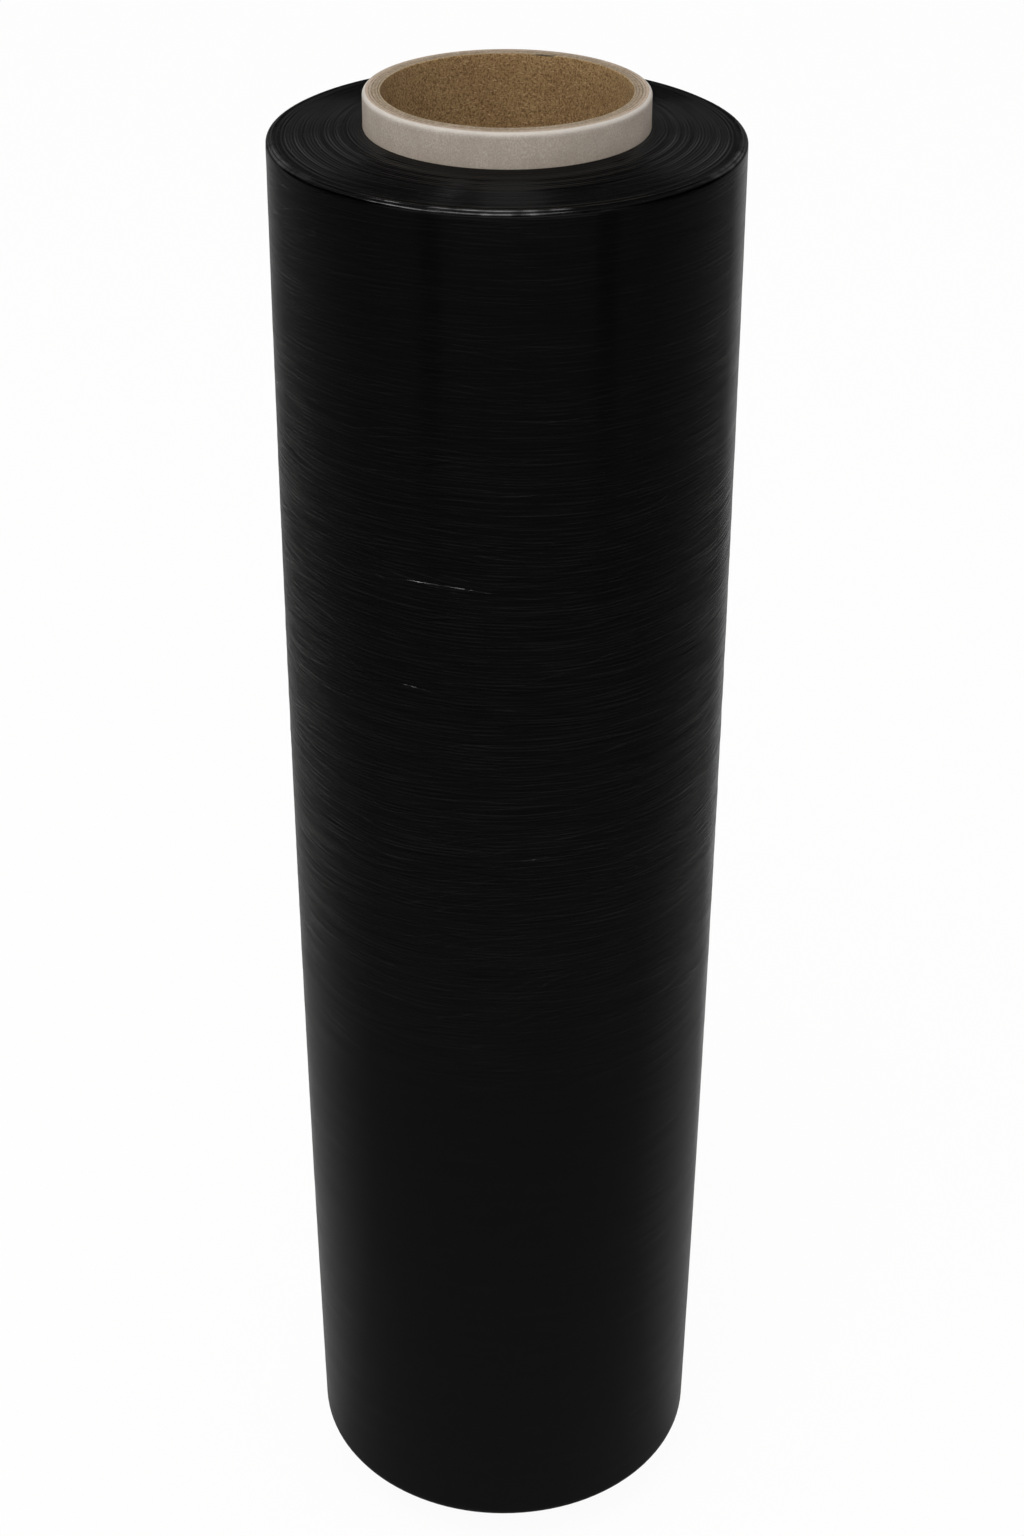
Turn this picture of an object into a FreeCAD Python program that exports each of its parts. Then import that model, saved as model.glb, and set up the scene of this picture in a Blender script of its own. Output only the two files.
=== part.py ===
import FreeCAD, Part
import math
import os
import Sketcher

# Stretch wrap roll: stretch film wound on a paperboard core that stands a little proud of it at both ends.
# Frame: the origin is the middle of the core's lower end, +Z runs up the core, sizes are millimetres.

os.makedirs("parts", exist_ok=True)
doc = FreeCAD.newDocument("StretchWrapRoll")

# The driving sizes. Each can be changed by itself.
sizes = {
    "bore_diameter": 76.2,          # a 3 inch mandrel or dispenser hub
    "core_wall": 5.5,
    "core_stub": 10.8,              # core left bare beyond the film at each end
    "core_rim_chamfer": 1.0,        # the outer rim is worn back
    "bore_rim_chamfer": 0.4,
    "film_width": 508.0,            # 20 inch film, over the outermost turns
    "end_rise": 3.0,                # the film necks in as it is wound, so the inner turns reach further out
    "film_top_diameter": 145.8,
    "film_bottom_diameter": 139.8,
    "film_crown": 1.4,              # how far the side swells at mid length
    "top_edge_radius": 2.8,
    "bottom_edge_radius": 4.5,
    "core_groove": 0.8,             # the first turns dip where they meet the core
    "ridge_height": 0.9,            # the tallest band of turns above the dip beside it
}
# Bands of turns that wandered in or out during winding, counted along each end face.
bands = {"top": 12, "bottom": 5}

sheet = doc.addObject("Spreadsheet::Sheet", "Sizes")
for row, (alias, size) in enumerate(sizes.items(), 1):
    sheet.set(f"A{row}", alias)
    sheet.set(f"B{row}", str(size))
    sheet.setAlias(f"B{row}", alias)
doc.recompute()

# Rules shared by the pieces, written in the sheet's own names.
bore_radius = "Sizes.bore_diameter / 2"
core_radius = "(Sizes.bore_diameter / 2 + Sizes.core_wall)"
core_length = "Sizes.film_width + 2 * (Sizes.core_stub + Sizes.end_rise)"
film_bottom = "(Sizes.core_stub + Sizes.end_rise)"
film_top = "(Sizes.core_stub + Sizes.end_rise + Sizes.film_width)"


def origin_plane(body, role):
    """The body's own origin plane that plays this role."""
    return next(item for item in body.Origin.OriginFeatures if item.Role == role)


def new_sketch(body, name, role):
    """A sketch of this body, lying on one of its origin planes."""
    sketch = body.newObject("Sketcher::SketchObject", name)
    sketch.AttachmentSupport = [(origin_plane(body, role), "")]
    sketch.MapMode = "FlatFace"
    return sketch


def bind(sketch, name, constraint, rule):
    """Adds a named constraint and ties its value to a rule over the sheet."""
    index = sketch.addConstraint(constraint)
    sketch.renameConstraint(index, name)
    sketch.setExpression(f"Constraints.{name}", rule)


def spot(sketch, across, up):
    """The point that two rules give now: its distance from the axis and its height."""
    return FreeCAD.Vector(float(sketch.evalExpression(across)), float(sketch.evalExpression(up)), 0)


def arc_between(start, end, radius):
    """The clockwise arc of this radius from start to end, which both lie right of its centre."""
    chord = end - start
    middle = (start + end) / 2
    inward = FreeCAD.Vector(chord.y, -chord.x, 0).normalize()
    centre = middle + inward * math.sqrt(radius ** 2 - chord.Length ** 2 / 4)
    first = math.atan2(end.y - centre.y, end.x - centre.x)
    last = math.atan2(start.y - centre.y, start.x - centre.x)
    return Part.ArcOfCircle(Part.Circle(centre, FreeCAD.Vector(0, 0, 1), radius), first, last)


def draw_outline(sketch, corners):
    """Closes a chain of corners with straight lines, or with an arc where a corner gives a radius rule.

    Each corner is (name, rule for the distance from the axis, rule for the height, radius rule or None).
    """
    starts = []
    ends = []
    for number, (name, across, up, bend) in enumerate(corners):
        following = corners[(number + 1) % len(corners)]
        start = spot(sketch, across, up)
        end = spot(sketch, following[1], following[2])
        if bend is None:
            edge = sketch.addGeometry(Part.LineSegment(start, end))
            starts.append((edge, 1))
            ends.append((edge, 2))
        else:
            edge = sketch.addGeometry(arc_between(start, end, float(sketch.evalExpression(bend))))
            starts.append((edge, 2))
            ends.append((edge, 1))
    for number, (name, across, up, bend) in enumerate(corners):
        edge, point = starts[number]
        sketch.addConstraint(Sketcher.Constraint("Coincident", *ends[number - 1], edge, point))
        here = spot(sketch, across, up)
        bind(sketch, f"{name}_across", Sketcher.Constraint("DistanceX", -1, 1, edge, point, here.x), across)
        bind(sketch, f"{name}_up", Sketcher.Constraint("DistanceY", -1, 1, edge, point, here.y), up)
        if bend is not None:
            radius = float(sketch.evalExpression(bend))
            bind(sketch, f"{name}_radius", Sketcher.Constraint("Radius", edge, radius), bend)


def wound_end(side, diameter, edge_radius):
    """Corners of one end face from the core outwards: bands of turns, each a crest with a dip after it.

    The bands differ in width and height, and the face falls by end_rise on its way out to the rounded edge.
    """
    outward = 1 if side == "top" else -1
    face = film_top if side == "top" else film_bottom
    reach = f"(Sizes.{diameter} / 2 - Sizes.{edge_radius} - {core_radius})"

    def corner(name, share, lift):
        across = f"{core_radius} + {share:.4f} * {reach}"
        up = f"{face} + {outward} * ({1 - share:.4f} * Sizes.end_rise + {lift})"
        return (f"{side}_{name}", across, up, None)

    corners = [corner("at_core", 0, "-1 * Sizes.core_groove")]
    for band in range(bands[side]):
        crest = (band + 0.5 + 0.22 * math.sin(2.3 * band)) / bands[side]
        height = 0.65 + 0.35 * math.sin(1.9 * band + 1.2)
        corners.append(corner(f"crest_{band}", crest, f"{height:.3f} * Sizes.ridge_height"))
        if band < bands[side] - 1:
            dip = (band + 1 + 0.12 * math.sin(1.3 * band)) / bands[side]
            corners.append(corner(f"dip_{band}", dip, "0"))
    return corners


# Core: one tube of spirally wound paperboard, cut square at both ends, its rims softened by handling.
core = doc.addObject("PartDesign::Body", "Core")
core.Label = "core_tube"
ring = new_sketch(core, "CoreRing", "XY_Plane")
middle = FreeCAD.Vector(0, 0, 0)
up_axis = FreeCAD.Vector(0, 0, 1)
for name, rule in (("bore_radius", bore_radius), ("core_radius", core_radius)):
    radius = float(ring.evalExpression(rule))
    circle = ring.addGeometry(Part.Circle(middle, up_axis, radius))
    ring.addConstraint(Sketcher.Constraint("Coincident", circle, 3, -1, 1))
    bind(ring, name, Sketcher.Constraint("Radius", circle, radius), rule)
tube = core.newObject("PartDesign::Pad", "CoreTube")
tube.Profile = ring
tube.setExpression("Length", core_length)
doc.recompute()


def rim_edges(feature, rule):
    """Names of the round end edges of a feature that have the radius a rule gives."""
    wanted = float(ring.evalExpression(rule))
    names = []
    for number, edge in enumerate(feature.Shape.Edges, 1):
        if isinstance(edge.Curve, Part.Circle) and abs(edge.Curve.Radius - wanted) < 1e-6:
            names.append(f"Edge{number}")
    return names


outer_rims = core.newObject("PartDesign::Chamfer", "OuterRims")
outer_rims.Base = (tube, rim_edges(tube, core_radius))
outer_rims.setExpression("Size", "Sizes.core_rim_chamfer")
doc.recompute()
bore_rims = core.newObject("PartDesign::Chamfer", "BoreRims")
bore_rims.Base = (outer_rims, rim_edges(outer_rims, bore_radius))
bore_rims.setExpression("Size", "Sizes.bore_rim_chamfer")
core.Tip = bore_rims

# Film: all its turns are one solid, turned round the core's axis. It grips the core face to face, swells
# a little at mid length, and shows its bands of turns as uneven ridges on both end faces.
film = doc.addObject("PartDesign::Body", "Film")
film.Label = "film_roll"
profile = new_sketch(film, "FilmProfile", "XZ_Plane")
side_drop = "(Sizes.film_width - Sizes.top_edge_radius - Sizes.bottom_edge_radius)"
side_lean = "((Sizes.film_top_diameter - Sizes.film_bottom_diameter) / 2)"
side_chord_squared = f"({side_drop} * {side_drop} + {side_lean} * {side_lean})"
side_radius = f"({side_chord_squared} / 4 + Sizes.film_crown * Sizes.film_crown) / (2 * Sizes.film_crown)"
top_end = wound_end("top", "film_top_diameter", "top_edge_radius")
bottom_end = wound_end("bottom", "film_bottom_diameter", "bottom_edge_radius")
rounded_side = [
    ("top_edge", "Sizes.film_top_diameter / 2 - Sizes.top_edge_radius", film_top, "Sizes.top_edge_radius"),
    ("side_top", "Sizes.film_top_diameter / 2", f"{film_top} - Sizes.top_edge_radius", side_radius),
    ("side_bottom", "Sizes.film_bottom_diameter / 2", f"{film_bottom} + Sizes.bottom_edge_radius",
     "Sizes.bottom_edge_radius"),
    ("bottom_edge", "Sizes.film_bottom_diameter / 2 - Sizes.bottom_edge_radius", film_bottom, None),
]
draw_outline(profile, top_end + rounded_side + bottom_end[::-1])
wound = film.newObject("PartDesign::Revolution", "WoundFilm")
wound.Profile = profile
wound.ReferenceAxis = (profile, ["V_Axis"])
wound.Angle = 360
film.Tip = wound

doc.recompute()
for item in doc.Objects:
    if "Invalid" in item.State or "Error" in item.State:
        raise RuntimeError(f"{item.Name} didn't build: {item.State}")
for body in (core, film):
    if body.Shape.isNull() or not body.Shape.isValid() or len(body.Shape.Solids) != 1:
        raise RuntimeError(f"{body.Label} isn't one valid solid")
    body.Shape.exportStep(f"parts/{body.Label}.step")
    box = body.Shape.BoundBox
    print(body.Label, "volume", round(body.Shape.Volume), "faces", len(body.Shape.Faces),
          "box", [round(value, 2) for value in (box.XLength, box.YLength, box.ZMin, box.ZMax)])
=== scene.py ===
from math import atan2, cos, exp, hypot, pi, radians, sin

import bmesh
import bpy
from mathutils import Matrix, Vector, noise


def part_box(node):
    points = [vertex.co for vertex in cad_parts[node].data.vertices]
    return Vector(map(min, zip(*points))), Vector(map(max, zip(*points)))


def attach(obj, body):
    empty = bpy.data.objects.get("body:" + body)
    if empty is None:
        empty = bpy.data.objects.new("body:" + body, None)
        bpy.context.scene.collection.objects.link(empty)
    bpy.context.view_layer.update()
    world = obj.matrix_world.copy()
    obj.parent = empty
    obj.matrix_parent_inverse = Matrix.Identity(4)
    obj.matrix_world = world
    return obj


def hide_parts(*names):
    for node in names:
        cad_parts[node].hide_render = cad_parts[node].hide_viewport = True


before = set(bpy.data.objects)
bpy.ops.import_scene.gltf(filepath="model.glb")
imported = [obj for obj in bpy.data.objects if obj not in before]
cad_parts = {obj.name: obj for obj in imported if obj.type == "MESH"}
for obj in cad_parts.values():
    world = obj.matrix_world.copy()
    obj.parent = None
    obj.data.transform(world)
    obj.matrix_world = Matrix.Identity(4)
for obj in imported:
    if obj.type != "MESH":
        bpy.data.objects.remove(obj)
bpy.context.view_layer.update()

mm = 0.001
scene = bpy.context.scene


# Camera
# A short telephoto lens looks steeply down on the standing roll from a little under a metre away, so the
# roll narrows towards its foot as it does in the photograph.
photo_height_px = 1536
focal_length_px = 2722
sensor_height = 36
look_down = radians(30.51)
camera_roll = radians(0.21)
aimed_at = Vector((2.2 * mm, 0, 299.2 * mm))
camera_distance = 936 * mm
nearest_seen = 10 * mm

camera = bpy.data.objects.new("camera", bpy.data.cameras.new("camera"))
scene.collection.objects.link(camera)
camera.data.sensor_fit = "VERTICAL"
camera.data.sensor_height = sensor_height
camera.data.lens = focal_length_px / photo_height_px * sensor_height
camera.data.clip_start = nearest_seen
forward = Vector((0, cos(look_down), -sin(look_down)))
camera.location = aimed_at - forward * camera_distance
turned = Matrix.Rotation(pi / 2 - look_down, 3, "X") @ Matrix.Rotation(camera_roll, 3, "Z")
camera.rotation_euler = turned.to_euler()
scene.camera = camera
scene.view_settings.view_transform = "Standard"


# Floor, backdrop and light
# A pale seamless floor under soft light: even light from all round, and one large lamp above the roll's
# left front. Floor and backdrop show white to the camera and to mirrored rays, and the floor keeps the
# roll's soft shadow. Sizes and places are in metres.
floor_width = 8.0
floor_colour = "E8E7E4"
floor_whiteness = 0.95
surround_light = 0.8
lamp_size = 1.1
lamp_watts = 13.0
lamp_place = Vector((-0.38, -0.85, 1.7))
lamp_target = Vector((0, 0, 0.4))


def linear(hex_colour):
    """An sRGB hex colour as linear red, green, blue and alpha."""
    channels = [int(hex_colour[start:start + 2], 16) / 255 for start in (0, 2, 4)]
    return [c / 12.92 if c <= 0.04045 else ((c + 0.055) / 1.055) ** 2.4 for c in channels] + [1]


def add_node(tree, kind, inputs=(), **settings):
    """Adds a node with its settings and its inputs, which are given in their order, or by name or number.

    An input is a value, a hex colour, a socket that feeds it, or a node whose first output does.
    """
    node = tree.nodes.new("ShaderNode" + kind)
    for name, setting in settings.items():
        setattr(node, name, setting)
    for socket, given in (inputs if isinstance(inputs, dict) else dict(enumerate(inputs))).items():
        if isinstance(given, bpy.types.Node):
            given = given.outputs[0]
        if isinstance(given, bpy.types.NodeSocket):
            tree.links.new(given, node.inputs[socket])
        else:
            node.inputs[socket].default_value = linear(given) if isinstance(given, str) else given
    return node


def new_material(name):
    """A node material with nothing in it yet, and its node tree."""
    material = bpy.data.materials.new(name)
    material.use_nodes = True
    material.node_tree.nodes.clear()
    return material, material.node_tree


def seen_as_background(tree):
    """1 for rays that show a background: straight to the camera, mirrored, or through something clear."""
    path = add_node(tree, "LightPath").outputs
    seen = add_node(tree, "Math", [path["Is Camera Ray"], path["Is Glossy Ray"]], operation="MAXIMUM")
    return add_node(tree, "Math", [seen, path["Is Transmission Ray"]], operation="MAXIMUM")


def new_piece(name, mesh_builder, materials):
    """A finished piece from a bmesh, at the origin, with smooth faces."""
    mesh = bpy.data.meshes.new(name)
    mesh_builder.to_mesh(mesh)
    mesh_builder.free()
    mesh.polygons.foreach_set("use_smooth", [True] * len(mesh.polygons))
    for material in materials:
        mesh.materials.append(material)
    piece = bpy.data.objects.new(name, mesh)
    scene.collection.objects.link(piece)
    return piece


floor_material, tree = new_material("seamless paper floor")
paper = add_node(tree, "BsdfDiffuse", {"Color": floor_colour})
white = add_node(tree, "Emission", {"Color": "FFFFFF", "Strength": 1})
share = add_node(tree, "Math", [seen_as_background(tree), floor_whiteness], operation="MULTIPLY")
ground = add_node(tree, "MixShader", [share, paper, white])
add_node(tree, "OutputMaterial", {"Surface": ground})

builder = bmesh.new()
bmesh.ops.create_grid(builder, x_segments=1, y_segments=1, size=floor_width / 2)
floor = new_piece("floor", builder, [floor_material])

world = bpy.data.worlds.new("soft surround")
scene.world = world
world.use_nodes = True
tree = world.node_tree
tree.nodes.clear()
light = add_node(tree, "Background", {"Color": "FFFFFF", "Strength": surround_light})
white = add_node(tree, "Background", {"Color": "FFFFFF", "Strength": 1})
backdrop = add_node(tree, "MixShader", [seen_as_background(tree), light, white])
add_node(tree, "OutputWorld", {"Surface": backdrop})

lamp_data = bpy.data.lights.new("soft lamp", "AREA")
lamp_data.shape = "SQUARE"
lamp_data.size = lamp_size
lamp_data.energy = lamp_watts
lamp = bpy.data.objects.new("soft lamp", lamp_data)
scene.collection.objects.link(lamp)
lamp.location = lamp_place
lamp.rotation_euler = (lamp_target - lamp_place).to_track_quat("-Z", "Y").to_euler()
lamp.visible_glossy = False

# The black film mirrors what stands round it, and in the photograph that is a dim studio and not white
# paper. Grey cards that only mirrored rays meet stand in for it: a ground that is paler near the roll and
# behind it, a room with a back wall that is dark in its middle, two dark flags in front, and lit panels
# overhead, which take the lamp's place in the mirrored view. A grey of 1 is white. The flags' bearings are
# in degrees from the front.
room_width = 4.0
room_height = 2.4
room_sunk = 10 * mm
card_over_floor = 0.5 * mm
panel_under_ceiling = 50 * mm
flag_size = (0.2, 0.5)
flag_distance = 1.12
flag_bearings = (-35, 47)
flag_grey = 0.012
panels = [
    {"grey": 9.0, "x": (-0.7, 0.55), "y": (-1.75, -0.1)},
    {"grey": 16.0, "x": (-1.5, -1.0), "y": (-1.4, 0.1)},
    {"grey": 0.6, "x": (-0.12, 0.17), "y": (0.3, 1.9)},
    {"grey": 1.4, "x": (-0.33, -0.24), "y": (0.9, 1.6)},
]


def from_axis(tree):
    """The distance from the roll's axis, and the direction away from it."""
    place = add_node(tree, "TexCoord").outputs["Object"]
    flat = add_node(tree, "VectorMath", [place, (1, 1, 0)], operation="MULTIPLY")
    distance = add_node(tree, "VectorMath", [flat], operation="LENGTH").outputs["Value"]
    direction = add_node(tree, "VectorMath", [flat], operation="NORMALIZE")
    return distance, add_node(tree, "SeparateXYZ", [direction]).outputs


def card_material(name, level):
    """A card that shows a grey and lights nothing; level is a number, or makes a node in a tree."""
    material, tree = new_material(name)
    material.cycles.emission_sampling = "NONE"
    strength = level(tree) if callable(level) else level
    card = add_node(tree, "Emission", {"Color": "FFFFFF", "Strength": strength})
    add_node(tree, "OutputMaterial", {"Surface": card})
    return material


def ground_level(tree):
    """Grey of the ground: paler close to the roll, and paler behind it, most of all on the right.

    Each range runs over the metres, or the directions, in which one grey passes into another.
    """
    distance, direction = from_axis(tree)
    near = add_node(tree, "MapRange", [direction["Y"], -0.3, 0.6, 0.083, 0.18])
    fading = add_node(tree, "MapRange", [distance, 0.1, 0.8, 1.1, 0.52])
    near = add_node(tree, "Math", [near, fading], operation="MULTIPLY")
    beside = add_node(tree, "MapRange", [direction["Y"], -0.6, 0.0, 0.0, 0.04])
    at_foot = add_node(tree, "MapRange", [distance, 0.08, 0.3, 1.0, 0.0])
    beside = add_node(tree, "Math", [beside, at_foot], operation="MULTIPLY")
    behind = add_node(tree, "MapRange", [direction["Y"], 0.7, 0.95, 0.0, 0.2])
    rightwards = add_node(tree, "MapRange", [direction["X"], -0.5, 0.5, 0.5, 1.3])
    behind = add_node(tree, "Math", [behind, rightwards], operation="MULTIPLY")
    close = add_node(tree, "Math", [near, beside], operation="ADD")
    return add_node(tree, "Math", [close, behind], operation="ADD")


def room_level(tree):
    """Grey of the room: a back wall dark behind the roll and paler aside, a grey front, a dark ceiling.

    Each range runs over the metres in which one grey passes into another.
    """
    place = add_node(tree, "SeparateXYZ", [add_node(tree, "TexCoord").outputs["Object"]]).outputs
    off_middle = add_node(tree, "Math", [place["X"]], operation="ABSOLUTE")
    aside = add_node(tree, "MapRange", [off_middle, 0.45, 1.1, 0.0, 0.66])
    upwards = add_node(tree, "MapRange", [place["Z"], 0.8, 1.2, 0.15, 1.0])
    aside = add_node(tree, "Math", [aside, upwards], operation="MULTIPLY")
    low_down = add_node(tree, "MapRange", [place["Z"], 0.7, 1.3, 0.12, 0.04])
    behind = add_node(tree, "Math", [aside, low_down], operation="MAXIMUM")
    backwards = add_node(tree, "MapRange", [place["Y"], 1.0, 1.7])
    behind = add_node(tree, "Math", [behind, backwards], operation="MULTIPLY")
    front = add_node(tree, "MapRange", [place["Y"], -1.9, -1.0, 0.45, 0.0])
    off_floor = add_node(tree, "MapRange", [place["Z"], 0.1, 0.6, 0.15, 1.0])
    front = add_node(tree, "Math", [front, off_floor], operation="MULTIPLY")
    walls = add_node(tree, "Math", [behind, front], operation="MAXIMUM")
    under_ceiling = add_node(tree, "MapRange", [place["Z"], 2.2, 2.35, 1.0, 0.04])
    return add_node(tree, "Math", [walls, under_ceiling], operation="MULTIPLY")


def mirrored_only(piece):
    """A stage piece that only mirrored rays meet."""
    piece.visible_camera = False
    piece.visible_diffuse = False
    piece.visible_transmission = False
    piece.visible_shadow = False


builder = bmesh.new()
bmesh.ops.create_grid(builder, x_segments=1, y_segments=1, size=room_width / 2)
bmesh.ops.translate(builder, vec=(0, 0, card_over_floor), verts=builder.verts)
mirrored_only(new_piece("ground_card", builder, [card_material("grey ground card", ground_level)]))

builder = bmesh.new()
bmesh.ops.create_cube(builder, size=1)
bmesh.ops.scale(builder, vec=(room_width, room_width, room_height), verts=builder.verts)
bmesh.ops.translate(builder, vec=(0, 0, room_height / 2 - room_sunk), verts=builder.verts)
mirrored_only(new_piece("room_cards", builder, [card_material("grey room cards", room_level)]))

flag_black = card_material("dark flags", flag_grey)
for number, bearing in enumerate(flag_bearings, 1):
    builder = bmesh.new()
    bmesh.ops.create_grid(builder, x_segments=1, y_segments=1, size=0.5)
    bmesh.ops.scale(builder, vec=(flag_size[0], flag_size[1], 1), verts=builder.verts)
    upright = Matrix.Rotation(radians(bearing), 4, "Z") @ Matrix.Rotation(pi / 2, 4, "X")
    bmesh.ops.transform(builder, matrix=upright, verts=builder.verts)
    away = Vector((sin(radians(bearing)), -cos(radians(bearing)), 0)) * flag_distance
    bmesh.ops.translate(builder, vec=away + Vector((0, 0, flag_size[1] / 2)), verts=builder.verts)
    mirrored_only(new_piece(f"dark_flag_{number}", builder, [flag_black]))

for number, panel in enumerate(panels, 1):
    left, right = panel["x"]
    front, back = panel["y"]
    builder = bmesh.new()
    bmesh.ops.create_grid(builder, x_segments=1, y_segments=1, size=0.5)
    bmesh.ops.scale(builder, vec=(right - left, back - front, 1), verts=builder.verts)
    middle = ((left + right) / 2, (front + back) / 2, room_height - panel_under_ceiling)
    bmesh.ops.translate(builder, vec=middle, verts=builder.verts)
    panel_light = card_material(f"overhead panel {number}", panel["grey"])
    mirrored_only(new_piece(f"overhead_panel_{number}", builder, [panel_light]))


# Core
# One tube of spirally wound paperboard, cut square at both ends. Its outer ply is smooth grey-beige board,
# its bore rough brown kraft, and the cut ends show the edges of the plies between them.
bore_radius = 38.1 * mm
core_radius = 43.6 * mm
core_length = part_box("core_tube")[1].z
rim_round = 1.3 * mm
bore_rim_round = 0.35 * mm
ply_joints = [38.75 * mm, 39.6 * mm, 40.7 * mm, 41.6 * mm]
ply_joint_depths = [0.3 * mm, 0.15 * mm, 0.25 * mm, 0.12 * mm]
ply_joint_width = 0.26 * mm
ply_joint_lip = 0.02 * mm
core_steps = 180


def object_noise(tree, size, detail=2.0, stretch=(1, 1, 1), shift=0.0):
    """Noise on the piece's own coordinates with features of a real size, stretched along its axes."""
    place = add_node(tree, "TexCoord").outputs["Object"]
    scale = [1 / (size * along) for along in stretch]
    spread = add_node(tree, "Mapping", {"Vector": place, "Location": [shift] * 3, "Scale": scale})
    return add_node(tree, "TexNoise", {"Vector": spread, "Scale": 1.0, "Detail": detail}).outputs["Fac"]


def layered(tree, colour, layers):
    """A colour with others laid over it in turn; each layer is (how much of it shows, its colour)."""
    for share, over in layers:
        # A colour mix has its colours at inputs 6 and 7 and its result at output 2.
        colour = add_node(tree, "Mix", {0: share, 6: colour, 7: over}, data_type="RGBA").outputs[2]
    return colour


def from_core_end(tree):
    """The distance down from the nearer end of the core."""
    up = add_node(tree, "SeparateXYZ", [add_node(tree, "TexCoord").outputs["Object"]]).outputs["Z"]
    over_middle = add_node(tree, "Math", [up, core_length / 2], operation="SUBTRACT")
    from_middle = add_node(tree, "Math", [over_middle], operation="ABSOLUTE")
    return add_node(tree, "Math", [core_length / 2, from_middle], operation="SUBTRACT")


# Grey board liner: recycled pulp, calendered smooth. It shows faint clouds, and flecks that are drawn
# coarser than real ones so that they show. Its rim is paler over its last two millimetres, and close to
# the film a painted shade makes it a little darker and browner, for the shade of the black film.
liner, tree = new_material("grey board liner")
clouds = add_node(tree, "MapRange", [object_noise(tree, 9 * mm, 3.0), 0.35, 0.65])
flecks = add_node(tree, "MapRange", [object_noise(tree, 0.5 * mm, 3.0), 0.35, 0.65])
fleck_share = add_node(tree, "Math", [flecks, 0.6], operation="MULTIPLY")
# Painted shade: the board is a little darker and browner close to the black film.
shade_near_film = add_node(tree, "MapRange", [from_core_end(tree), 6 * mm, 11.5 * mm, 0.0, 0.25])
ragged = add_node(tree, "MapRange", [object_noise(tree, 6 * mm, 3.0), 0.2, 0.8, -0.35 * mm, 0.35 * mm])
below_rim = add_node(tree, "Math", [from_core_end(tree), ragged], operation="ADD")
paler_rim_band = add_node(tree, "MapRange", [below_rim, 0.3 * mm, 2.0 * mm, 0.6, 0.0])
layers = [(clouds, "B4A99E"), (fleck_share, "8C8174"), (shade_near_film, "8C7C67"), (paler_rim_band, "C3BFB9")]
board = layered(tree, "A99E93", layers)
bump = add_node(tree, "Bump", {"Strength": 1.0, "Distance": 0.05 * mm, "Height": flecks})
smooth_board = {"Base Color": board, "Roughness": 0.7, "Specular IOR Level": 0.3, "Normal": bump}
add_node(tree, "OutputMaterial", {"Surface": add_node(tree, "BsdfPrincipled", smooth_board)})

# Kraft liner: unbleached fibre, only roughly pressed. Single fibres and bundles show as light and dark
# flecks, drawn a little coarser than real ones so that they show.
kraft, tree = new_material("kraft bore liner")
clouds = add_node(tree, "MapRange", [object_noise(tree, 14 * mm, 3.0), 0.3, 0.7])
bundles = object_noise(tree, 0.5 * mm, 3.0, (1, 1, 1.6))
bundles = add_node(tree, "MapRange", [bundles, 0.45, 0.62, 0.0, 0.95])
fibres = object_noise(tree, 0.5 * mm, 3.0, (2.6, 1, 0.8))
fibres = add_node(tree, "MapRange", [fibres, 0.54, 0.7, 0.0, 0.8])
pulp = layered(tree, "886C4A", [(clouds, "997E57"), (bundles, "654B30"), (fibres, "B99D76")])
unevenness = object_noise(tree, 0.8 * mm, 4.0)
bump = add_node(tree, "Bump", {"Strength": 1.0, "Distance": 0.12 * mm, "Height": unevenness})
rough_paper = {"Base Color": pulp, "Roughness": 0.9, "Specular IOR Level": 0.2, "Normal": bump}
add_node(tree, "OutputMaterial", {"Surface": add_node(tree, "BsdfPrincipled", rough_paper)})

# Cut plies: the knife leaves the plies' edges as faint rings. A painted shade darkens the joints between
# plies, most where the glue between two of them has let go. The inner plies are darker, rougher pulp, the
# innermost shows the kraft's pale cut lip, and a painted shade makes the deep gap between two plies nearly
# black.
plies, tree = new_material("cut board plies")
across = from_axis(tree)[0]
ring_grain = {"W": across, "Scale": 1 / (0.55 * mm), "Detail": 2.0}
rings = add_node(tree, "TexNoise", ring_grain, noise_dimensions="1D")
rings = add_node(tree, "MapRange", [rings, 0.45, 0.7, 0.0, 0.5])
outer_plies = add_node(tree, "MapRange", [across, 40.5 * mm, 41.6 * mm])
cut_lip = add_node(tree, "MapRange", [across, 38.5 * mm, 38.8 * mm, 0.8, 0.0])
layers = [(outer_plies, "A19182"), (cut_lip, "97866A"), (rings, "786853")]
open_gap = add_node(tree, "MapRange", [object_noise(tree, 12 * mm, 2.0), 0.35, 0.6, 0.25, 0.85])
for joint in ply_joints:
    off_joint = add_node(tree, "Math", [across, joint], operation="SUBTRACT")
    off_joint = add_node(tree, "Math", [off_joint], operation="ABSOLUTE")
    # Painted shade down in each joint, deeper where the glue has let go.
    shadow = add_node(tree, "MapRange", [off_joint, 0.08 * mm, 0.24 * mm, 1.0, 0.0])
    layers.append((add_node(tree, "Math", [shadow, open_gap], operation="MULTIPLY"), "564A35"))
fuzz = add_node(tree, "MapRange", [object_noise(tree, 0.8 * mm, 3.0), 0.4, 0.7, 0.0, 0.35])
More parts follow.
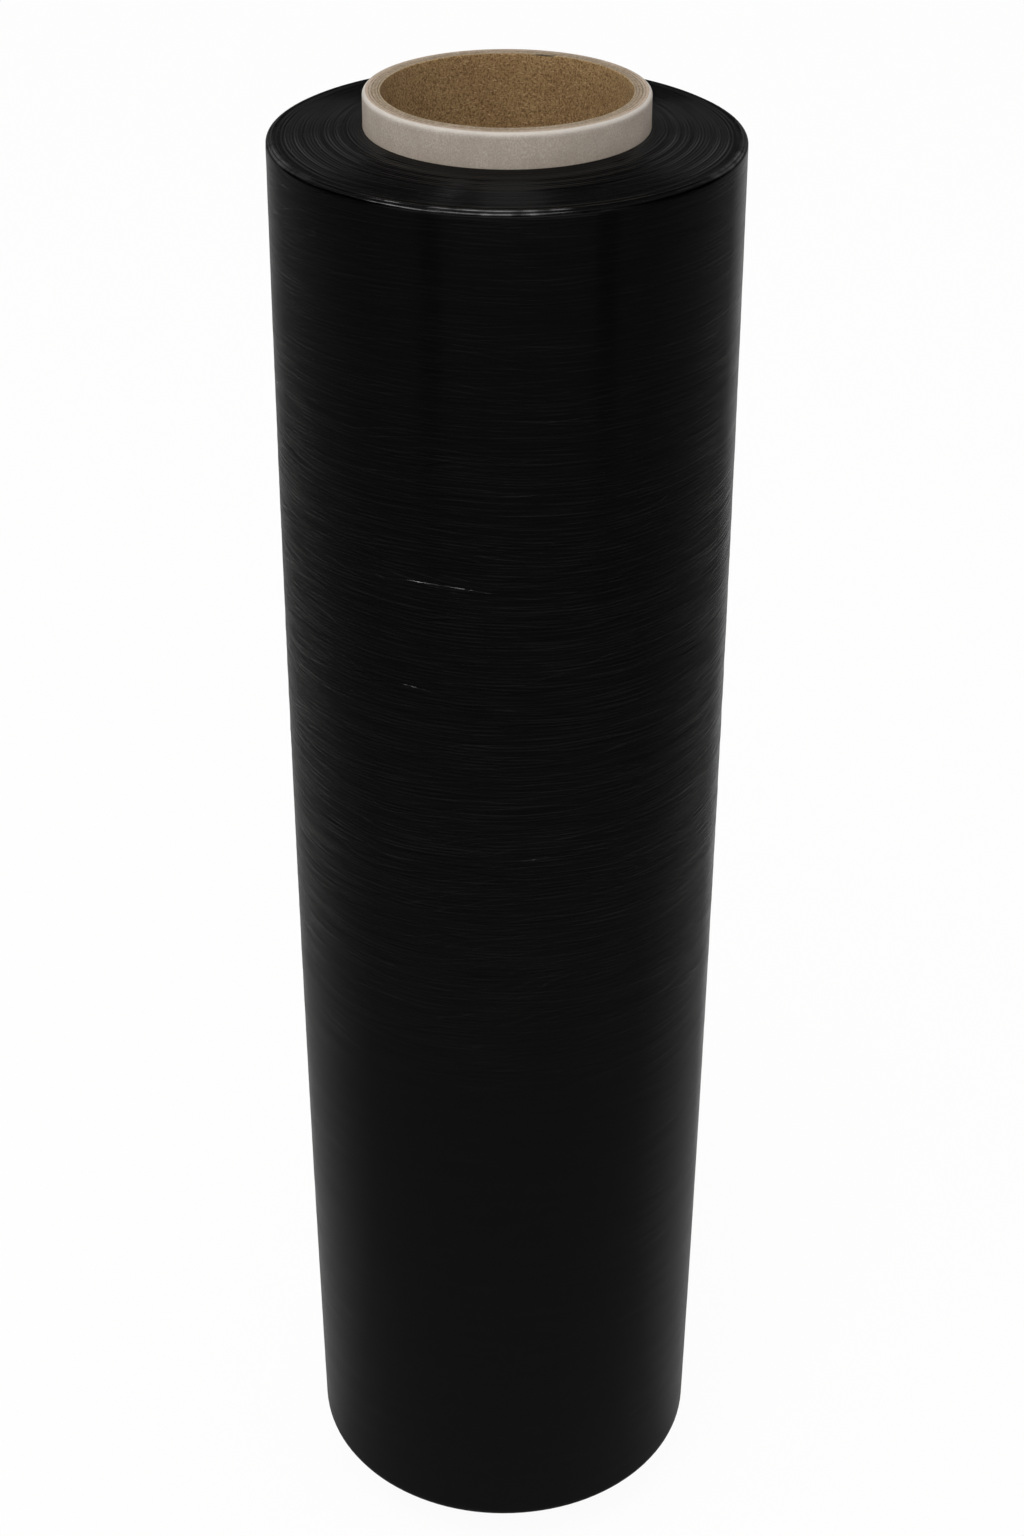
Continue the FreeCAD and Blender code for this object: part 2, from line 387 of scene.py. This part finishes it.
# Painted shade: down in the deep gap the plies are painted nearly black.
shade_down_in_gap = add_node(tree, "MapRange", [from_core_end(tree), 0.3 * mm, 0.45 * mm, 0.0, 0.9])
layers += [(fuzz, "BBAE9D"), (shade_down_in_gap, "2E2518")]
edge = layered(tree, "847461", layers)
unevenness = object_noise(tree, 0.6 * mm, 3.0)
bump = add_node(tree, "Bump", {"Strength": 1.0, "Distance": 0.05 * mm, "Height": unevenness})
cut_board = {"Base Color": edge, "Roughness": 0.9, "Specular IOR Level": 0.2, "Normal": bump}
add_node(tree, "OutputMaterial", {"Surface": add_node(tree, "BsdfPrincipled", cut_board)})


def spun(outline, steps):
    """Spins a closed outline of (distance from the axis, height) points into a solid of revolution."""
    builder = bmesh.new()
    chain = [builder.verts.new((across, 0, up)) for across, up in outline]
    for number, vert in enumerate(chain):
        builder.edges.new((chain[number - 1], vert))
    bmesh.ops.spin(builder, geom=builder.verts[:] + builder.edges[:], cent=(0, 0, 0), axis=(0, 0, 1),
                   angle=2 * pi, steps=steps, use_merge=True)
    bmesh.ops.remove_doubles(builder, verts=builder.verts, dist=0.001 * mm)
    bmesh.ops.recalc_face_normals(builder, faces=builder.faces)
    return builder


def rounded(centre_across, centre_up, radius, first, last, segments):
    """Points along an arc of the outline, its angles in degrees from straight outwards."""
    angles = [radians(first + (last - first) * step / segments) for step in range(segments + 1)]
    return [(centre_across + radius * cos(angle), centre_up + radius * sin(angle)) for angle in angles]


def core_end_outline():
    """The upper end of the core, from its side over the cut plies and into the bore."""
    outline = rounded(core_radius - rim_round, core_length - rim_round, rim_round, 0, 90, 6)
    for joint, depth in reversed(list(zip(ply_joints, ply_joint_depths))):
        outline.append((joint + ply_joint_width / 2, core_length - ply_joint_lip))
        outline.append((joint, core_length - depth))
        outline.append((joint - ply_joint_width / 2, core_length - ply_joint_lip))
    bend_across = bore_radius + bore_rim_round
    return outline + rounded(bend_across, core_length - bore_rim_round, bore_rim_round, 90, 180, 3)


down_the_wall = [core_length - depth * mm for depth in (2.2, 4, 7, 11, 16)]
bore_wall = [(bore_radius, up) for up in down_the_wall]
outer_wall = [(core_radius, up) for up in reversed(down_the_wall)]
upper_half = outer_wall + core_end_outline() + bore_wall
lower_half = [(across, core_length - up) for across, up in reversed(upper_half)]
builder = spun(upper_half + lower_half, core_steps)

# Cutting and handling leave the rims a little uneven. At the back right of the upper rim the innermost ply
# has come away and left a ragged gap behind it, made dark by painted shade, and it is chipped down along a
# part of that gap.
# Bearings are in degrees from +X.
rim_unevenness = 0.14 * mm
uneven_reach = 6 * mm
gap_bearings = (50, 79)
gap_depth = 2.5 * mm
gap_width = 0.6 * mm
chip_bearings = (66, 79)
chip_depth = 0.4 * mm


def along_arc(vert, bearings):
    """How strongly a vertex lies in a range of bearings: 0 outside it and at its ends, 1 in its middle."""
    bearing = atan2(vert.co.y, vert.co.x) * 180 / pi
    along = (bearing - bearings[0]) / (bearings[1] - bearings[0])
    return sin(pi * along) ** 0.4 if 0 < along < 1 else 0


for vert in builder.verts:
    from_end = min(vert.co.z, core_length - vert.co.z)
    across = hypot(vert.co.x, vert.co.y)
    outward = Vector((vert.co.x, vert.co.y, 0)).normalized()
    if vert.co.z > core_length - 1 * mm:
        if abs(across - ply_joints[0]) < 0.05 * mm:
            vert.co.z -= gap_depth * along_arc(vert, gap_bearings)
        elif ply_joints[0] < across < ply_joints[0] + ply_joint_width:
            ragged_share = 0.6 + 0.8 * abs(noise.noise(vert.co / (2 * mm)))
            vert.co += outward * gap_width * ragged_share * along_arc(vert, gap_bearings)
        elif across < ply_joints[0]:
            vert.co.z -= chip_depth * along_arc(vert, chip_bearings)
    if from_end < uneven_reach:
        dent = noise.noise(Vector((vert.co.x, vert.co.y, 3 * vert.co.z)) / (14 * mm))
        fade = 1 - from_end / uneven_reach
        into_core = -1 if vert.co.z > uneven_reach else 1
        vert.co += outward * dent * rim_unevenness * fade
        vert.co.z += into_core * (0.5 + 0.5 * dent) * rim_unevenness * 0.4 * fade

for face in builder.faces:
    middle = face.calc_center_median()
    across = hypot(middle.x, middle.y)
    if across < bore_radius + 0.1 * mm:
        face.material_index = 1
    elif across < core_radius - 0.75 * rim_round:
        face.material_index = 2

core = new_piece("core", builder, [liner, kraft, plies])
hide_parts("core_tube")
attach(core, "root")


# Film
# One long web of black stretch film, wound under tension on the core. Its turns lie tight: the side is a
# single glossy skin with fine creases that run round the roll, and the slit edges make ridged end faces.
film_steps = 120
film_bottom = 13.8 * mm
film_top = 521.8 * mm
top_radius = 72.9 * mm
bottom_radius = 69.9 * mm
crown = 1.4 * mm
end_rise = 3.0 * mm
top_edge_round = 1.3 * mm
bottom_edge_round = 4.5 * mm
core_groove = 0.8 * mm
top_ridges = 27
bottom_ridges = 14
ridge_height = 0.19 * mm
edge_ridge_height = 0.36 * mm
edge_ridge_width = 1.5
side_rows = 520
hairline_width = 0.36 * mm

# Stretch film: cast polyethylene with black pigment. It is smooth and glossy, a little hazed where the
# turns cling together. Its hairline creases have a slight relief, and along them pale lines are a painted
# highlight and lines that mirror less a painted shade. They are drawn a little wider than real ones so that
# they show.
film_skin, tree = new_material("black polyethylene stretch film")


def hairlines(tree, spacing, lean, length, shift):
    """Thin lines, from 0 to 1, that run round the roll side by side, waver together, and come and go.

    They sway up and down by as much as lean on their way round, and each shows for about length at a time.
    """
    place = add_node(tree, "SeparateXYZ", [add_node(tree, "TexCoord").outputs["Object"]]).outputs
    sway = object_noise(tree, 120 * mm, 1.0, shift=shift)
    sway = add_node(tree, "MapRange", [sway, 0.0, 1.0, -lean, lean])
    crowding = object_noise(tree, 10 * mm, 2.0, (7, 7, 1), shift)
    crowding = add_node(tree, "MapRange", [crowding, 0.0, 1.0, -2.5 * spacing, 2.5 * spacing])
    moved = add_node(tree, "Math", [sway, crowding], operation="ADD")
    up = add_node(tree, "Math", [place["Z"], moved], operation="ADD")
    off_line = add_node(tree, "Math", [up, spacing / 2], operation="PINGPONG")
    line = add_node(tree, "MapRange", [off_line, 0.0, hairline_width / 2, 1.0, 0.0])
    along = add_node(tree, "CombineXYZ", [place["X"], place["Y"], up])
    scale = (1 / length, 1 / length, 0.7 / spacing)
    spread = add_node(tree, "Mapping", {"Vector": along, "Location": [shift] * 3, "Scale": scale})
    showing = add_node(tree, "TexNoise", {"Vector": spread, "Scale": 1.0, "Detail": 2.0})
    showing = add_node(tree, "MapRange", [showing, 0.25, 0.8])
    return add_node(tree, "Math", [line, showing], operation="MULTIPLY")


up = add_node(tree, "SeparateXYZ", [add_node(tree, "TexCoord").outputs["Object"]]).outputs["Z"]
lower_fade = add_node(tree, "MapRange", [up, 200 * mm, 300 * mm, 0.35, 1.0])
upper_fade = add_node(tree, "MapRange", [up, 410 * mm, 490 * mm, 1.0, 0.5])
creased = add_node(tree, "Math", [lower_fade, upper_fade], operation="MULTIPLY")
# Pale lines, a painted highlight along the creases.
level = hairlines(tree, 1.2 * mm, 5 * mm, 40 * mm, 1.0)
leaning = hairlines(tree, 1.8 * mm, 16 * mm, 40 * mm, 5.0)
painted_highlight_lines = add_node(tree, "Math", [level, leaning], operation="MAXIMUM")
# Dark lines, a painted shade beside the creases.
level = hairlines(tree, 1.2 * mm, 6 * mm, 35 * mm, 2.0)
leaning = hairlines(tree, 1.7 * mm, 12 * mm, 30 * mm, 7.0)
dark = add_node(tree, "Math", [level, leaning], operation="MAXIMUM")
# Broad streaks of painted sheen and shade across the lines.
streaks = object_noise(tree, 0.9 * mm, 2.0, (25, 25, 1))
streaks = add_node(tree, "MapRange", [streaks, 0.2, 0.8, -0.3, 0.3])
crease_relief_and_sheen = add_node(tree, "Math", [painted_highlight_lines, dark], operation="SUBTRACT")
crease_relief_and_sheen = add_node(tree, "Math", [crease_relief_and_sheen, streaks], operation="ADD")
crease_relief_and_sheen = add_node(tree, "Math", [crease_relief_and_sheen, creased], operation="MULTIPLY")

# Near the roll's outline, where the look is glancing, the creases are drawn stronger: the pale ones get a
# paler painted sheen, and the dark ones a dull painted shade that mirrors next to nothing.
glancing = add_node(tree, "LayerWeight", {"Blend": 0.5}).outputs["Facing"]
at_rim = add_node(tree, "MapRange", [glancing, 0.45, 0.8])
brought_out = add_node(tree, "MapRange", [glancing, 0.4, 0.8, 1.15, 2.2])
painted_crease_light = add_node(tree, "Math", [crease_relief_and_sheen, brought_out], operation="MULTIPLY")
# Painted sheen: the pale creases are paler near the outline.
crease_sheen_colour = layered(tree, "161616", [(at_rim, "4E4E4B")])
crease_sheen_share = add_node(tree, "MapRange", [painted_crease_light, 0.1, 1.2])
black = layered(tree, "050505", [(crease_sheen_share, crease_sheen_colour)])
# Painted light also sets how much the film mirrors: less on the dark creases, more on the pale.
gloss = add_node(tree, "MapRange", [painted_crease_light, -1.0, 1.0, 0.05, 0.95])
haze = object_noise(tree, 30 * mm, 3.0, (1, 1, 0.25))
haze = add_node(tree, "MapRange", [haze, 0.3, 0.7, 0.13, 0.2])
bump = add_node(tree, "Bump", {"Strength": 1.0, "Distance": 0.025 * mm, "Height": crease_relief_and_sheen})
skin = {"Base Color": black, "Roughness": haze, "IOR": 1.51, "Specular IOR Level": gloss, "Normal": bump}
glossy = add_node(tree, "BsdfPrincipled", skin)
# Painted shade: the dark creases turn dull and dark near the outline.
crease_shade_matte = add_node(tree, "BsdfDiffuse", {"Color": "0A0A0A"})
crease_shade_share = add_node(tree, "MapRange", [painted_crease_light, -1.2, -0.1, 0.85, 0.0])
crease_shade_at_outline = add_node(tree, "Math", [crease_shade_share, at_rim], operation="MULTIPLY")
add_node(tree, "OutputMaterial", {"Surface": add_node(tree, "MixShader", [crease_shade_at_outline, glossy, crease_shade_matte])})

# Slit edges: the film was slit by a razor before winding, so each turn ends in a sharp edge. Single turns
# are far too fine to show, and are drawn as rings about half a millimetre apart. Cut edges mirror far less
# than the skin does. The outermost ones are polished in places, which gives the corner its glints.
film_edges, tree = new_material("slit edges of stretch film")
across = from_axis(tree)[0]
wobble = add_node(tree, "MapRange", [object_noise(tree, 25 * mm, 2.0), 0.0, 1.0, -0.4 * mm, 0.4 * mm])
ring_place = add_node(tree, "Math", [across, wobble], operation="ADD")
ring_grain = {"W": ring_place, "Scale": 1 / (0.6 * mm), "Detail": 3.0}
turns = add_node(tree, "TexNoise", ring_grain, noise_dimensions="1D")
shade = layered(tree, "010101", [(add_node(tree, "MapRange", [turns, 0.35, 0.65]), "101010")])
glints = add_node(tree, "MapRange", [object_noise(tree, 5 * mm, 2.0), 0.35, 0.65, -0.06, 0.14])
at_corner = add_node(tree, "MapRange", [across, 69 * mm, 70.5 * mm])
glints = add_node(tree, "Math", [glints, at_corner], operation="MULTIPLY")
polish = add_node(tree, "Math", [glints, 0.1], operation="ADD")
bump = add_node(tree, "Bump", {"Strength": 1.0, "Distance": 0.025 * mm, "Height": turns})
cut = {"Base Color": shade, "Roughness": 0.15, "IOR": 1.51, "Specular IOR Level": polish, "Normal": bump}
add_node(tree, "OutputMaterial", {"Surface": add_node(tree, "BsdfPrincipled", cut)})


def end_face_outline(edge_place, ridges, seed):
    """One ridged end face as (distance from the axis, height over the outer edge), from the core outwards.

    Each ridge rises steeply on its side towards the core and falls away gently outwards. The last one is
    taller and rounder. A ridge's shape is (share of its width, share of its height).
    """
    reach = edge_place - core_radius
    steps = [1 + 0.2 * sin(2.1 * ridge + seed) + 0.15 * sin(5.3 * ridge) for ridge in range(ridges - 2)]
    steps += [edge_ridge_width, edge_ridge_width]
    plain_ridge = ((0.0, 0.0), (0.08, 0.3), (0.18, 0.9), (0.27, 1.0), (0.6, 0.55), (0.9, 0.08))
    edge_ridge = ((0.0, 0.0), (0.4, 0.3), (0.55, 0.85), (0.65, 1.0), (0.78, 0.7), (0.9, 0.2))
    outline = [(core_radius, end_rise - core_groove), (core_radius + 0.3 * mm, end_rise - core_groove)]
    done = 0.0
    for ridge, step in enumerate(steps):
        tall = ridge_height * (0.9 + 0.2 * sin(1.9 * ridge + seed) + 0.15 * sin(4.7 * ridge))
        shape = plain_ridge
        if ridge == ridges - 1:
            tall = edge_ridge_height
            shape = edge_ridge
        for part, lift in shape:
            share = (done + part * step) / sum(steps)
            outline.append((core_radius + share * reach, (1 - share) * end_rise + lift * tall))
        done += step
    return outline


def side_radius(up):
    """The side's radius at a height: narrower towards the foot, and swollen at mid length."""
    share = (film_top - up) / (film_top - film_bottom)
    return top_radius + (bottom_radius - top_radius) * share + crown * 4 * share * (1 - share)


top_edge_place = top_radius - top_edge_round
side_top = film_top - top_edge_round
side_bottom = film_bottom + bottom_edge_round
top_face = [(across, film_top + over) for across, over in end_face_outline(top_edge_place, top_ridges, 1.2)]
top_edge = rounded(top_edge_place, side_top, top_edge_round, 90, 0, 7)
heights = [side_top + (side_bottom - side_top) * row / side_rows for row in range(1, side_rows)]
side = [(side_radius(height), height) for height in heights]
bottom_edge_place = side_radius(side_bottom) - bottom_edge_round
bottom_edge = rounded(bottom_edge_place, side_bottom, bottom_edge_round, 0, -90, 8)
bottom_outline = end_face_outline(bottom_edge[-1][0], bottom_ridges, 4.0)
bottom_face = [(across, film_bottom - over) for across, over in bottom_outline]
builder = spun(top_face + top_edge + side + bottom_edge + bottom_face[::-1], film_steps)

# The film is drawn into soft creases as it is wound, weak at the ends and strongest a little above mid
# length. On the end faces the turns wander in and out, and the outer ones rise and fall a little in waves.
broad_swell = 0.08 * mm
crease_height = 0.06 * mm
turn_wander = 0.3 * mm
turn_rise = 0.07 * mm
edge_wave = 0.15 * mm


def skin_lift(around, up):
    """How far the creases raise the film in one place; around is the direction away from the axis."""
    share = (up - film_bottom) / (film_top - film_bottom)
    strength = 0.3 + 0.7 * exp(-((share - 0.6) / 0.25) ** 2)
    sway = 6 * mm * noise.noise(Vector((around.x * 1.4, around.y * 1.4, up / (110 * mm))))
    swell = noise.noise(Vector((around.x * 1.2, around.y * 1.2, (up + sway) / (9 * mm))))
    crease = noise.noise(Vector((around.x * 1.6 + 7, around.y * 1.6, (up + 1.4 * sway) / (5.5 * mm))))
    return strength * (broad_swell * swell + crease_height * max(0, 1 - 3.5 * abs(crease)))


for vert in builder.verts:
    around = Vector((vert.co.x, vert.co.y, 0)).normalized()
    across = hypot(vert.co.x, vert.co.y)
    up = vert.co.z
    if side_bottom - 2 * mm < up < side_top:
        vert.co += around * skin_lift(around, up)
    elif across > core_radius + 0.6 * mm:
        outward = 1 if up > side_top - 1 * mm else -1
        near_edge = min(1, (across - core_radius) / (20 * mm))
        wander = noise.noise(around * 1.7 + Vector((0, 0, across / (7 * mm))))
        taller = noise.noise(around * 2.3 + Vector((5, 0, across / (3 * mm))))
        if across < bottom_radius:
            vert.co += around * turn_wander * wander * min(1, (bottom_radius - across) / (3 * mm))
        vert.co.z += outward * (edge_wave * near_edge * noise.noise(around * 1.3) + turn_rise * taller)

# A few creases and scratches stand out. Each is a pinched fold: a low tent, spun part of the way round and
# fading out at both ends, then laid on the film's side. Long ones begin and end on the film's own facets,
# and so lie on them all the way. Bearings are in degrees from the front, and the rest in millimetres.
folds = [
    {"bearings": (-32.5, -1), "heights": (403.6, 402.6), "sag": 1.5, "half_width": 0.22, "tall": 0.17},
    {"bearings": (-31, -27.5), "heights": (394.6, 394.5), "sag": 0.0, "half_width": 0.2, "tall": 0.1},
    {"bearings": (-35, -15), "heights": (367.4, 366.7), "sag": 1.0, "half_width": 0.22, "tall": 0.12},
    {"bearings": (3, 12.5), "heights": (307.3, 308.2), "sag": 0.2, "half_width": 0.22, "tall": 0.1},
    {"bearings": (-41, -33), "heights": (324.4, 320.6), "sag": 0.3, "half_width": 0.2, "tall": 0.07},
    {"bearings": (-3, 57), "heights": (370.0, 389.5), "sag": -0.8, "half_width": 0.4, "tall": 0.09},
    {"bearings": (-54, 24), "heights": (439.0, 449.4), "sag": -0.6, "half_width": 0.4, "tall": 0.06},
    {"bearings": (-63, -45), "heights": (422.3, 426.0), "sag": 0.0, "half_width": 0.4, "tall": 0.08},
    {"bearings": (-57, -42), "heights": (381.5, 380.7), "sag": 0.0, "half_width": 0.4, "tall": 0.08},
    {"bearings": (-18, 30), "heights": (432.7, 436.5), "sag": 0.3, "half_width": 0.4, "tall": 0.05},
    {"bearings": (-27, 24), "heights": (414.4, 417.0), "sag": -0.2, "half_width": 0.4, "tall": 0.05},
    {"bearings": (-21, 30), "heights": (364.5, 360.9), "sag": -0.3, "half_width": 0.4, "tall": 0.06},
]
spun_at = 60 * mm
fold_root = 0.4 * mm
fold_foot = 0.05 * mm
fold_shoulder = 0.65
sunk_in_skin = 0.03 * mm
short_fold_steps = 12
facet = 360 / film_steps
fold_mesh = bpy.data.meshes.new("folds")
for fold in folds:
    first, last = fold["bearings"]
    low, high = fold["heights"]
    wide = fold["half_width"] * mm
    tall = fold["tall"] * mm
    shoulder = fold_shoulder * tall
    section = [(-wide, -fold_root), (-wide, -fold_foot), (-0.4 * wide, shoulder), (0, tall),
               (0.4 * wide, shoulder), (wide, -fold_foot), (wide, -fold_root)]
    on_facets = (last - first) % facet == 0
    steps = round((last - first) / facet) if on_facets else short_fold_steps
    strip = bmesh.new()
    chain = [strip.verts.new((spun_at + out, 0, up)) for up, out in section]
    ring = [strip.edges.new((chain[number - 1], vert)) for number, vert in enumerate(chain)]
    bmesh.ops.spin(strip, geom=chain + ring, cent=(0, 0, 0), axis=(0, 0, 1), angle=radians(last - first),
                   steps=steps)
    bmesh.ops.holes_fill(strip, edges=[edge for edge in strip.edges if edge.is_boundary], sides=0)
    for vert in strip.verts:
        turned_by = atan2(vert.co.y, vert.co.x)
        along = min(max(turned_by / radians(last - first), 0), 1)
        bearing = radians(first) + turned_by
        around = Vector((sin(bearing), -cos(bearing), 0))
        out = hypot(vert.co.x, vert.co.y) - spun_at
        up = (low + (high - low) * along + fold["sag"] * 4 * along * (1 - along)) * mm + vert.co.z
        fading = sin(pi * along) ** 0.5 * (0.75 + 0.25 * sin(23 * along + first))
        rise = out * fading if out > 0 else out
        out_to_skin = side_radius(up) + skin_lift(around, up) + rise - sunk_in_skin
        vert.co = around * out_to_skin + Vector((0, 0, up))
    strip.to_mesh(fold_mesh)
    strip.free()
    builder.from_mesh(fold_mesh)
bpy.data.meshes.remove(fold_mesh)
bmesh.ops.recalc_face_normals(builder, faces=builder.faces)

for face in builder.faces:
    middle = face.calc_center_median()
    on_top = middle.z > side_top + 0.3 * mm
    on_bottom = middle.z < film_bottom + 0.15 * mm
    face.material_index = 1 if on_top or on_bottom else 0

film = new_piece("film", builder, [film_skin, film_edges])
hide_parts("film_roll")
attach(film, "root")
